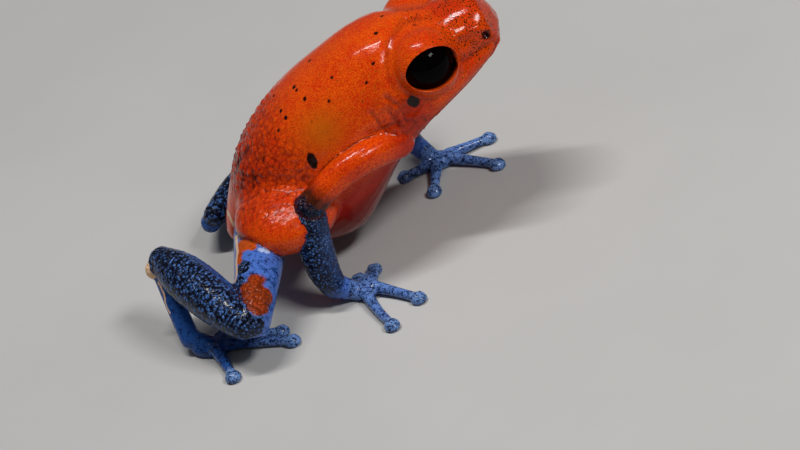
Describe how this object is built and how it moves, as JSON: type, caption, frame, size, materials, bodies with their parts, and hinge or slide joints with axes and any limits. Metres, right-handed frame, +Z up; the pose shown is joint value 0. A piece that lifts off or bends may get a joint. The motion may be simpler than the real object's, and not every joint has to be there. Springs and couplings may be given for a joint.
{
  "type": "strawberry poison dart frog",
  "caption": "Life-size still model of a small orange-red frog with blue limbs, sitting alert with its head raised, its fingers and toes spread on the floor.",
  "frame": {"origin": "middle of the footprint, on the floor under the belly", "axes": "+X ahead to the snout, +Y to the frog's left, +Z up"},
  "size_m": [0.0222, 0.0218, 0.0123],
  "materials": {
    "skin_orange": "wet, finely grained orange-red skin",
    "skin_dark_blue": "wet near-black skin with small blue granules",
    "skin_sky_blue": "wet smooth sky-blue skin with dark spots",
    "eye": "glossy near-black brown eye"
  },
  "bodies": {
    "root": {"torso": "skin_orange", "head": "skin_orange", "eye_left": "eye", "eye_right": "eye", "eardrum_left": "skin_orange", "eardrum_right": "skin_orange", "upper_arm_left": "skin_orange", "forearm_left": "skin_dark_blue", "hand_left": "skin_sky_blue", "thigh_left": "skin_sky_blue", "shank_left": "skin_dark_blue", "tarsus_left": "skin_sky_blue", "foot_left": "skin_sky_blue", "upper_arm_right": "skin_orange", "forearm_right": "skin_dark_blue", "hand_right": "skin_sky_blue", "thigh_right": "skin_sky_blue", "shank_right": "skin_dark_blue", "tarsus_right": "skin_sky_blue", "foot_right": "skin_sky_blue"}
  },
  "joints": []
}
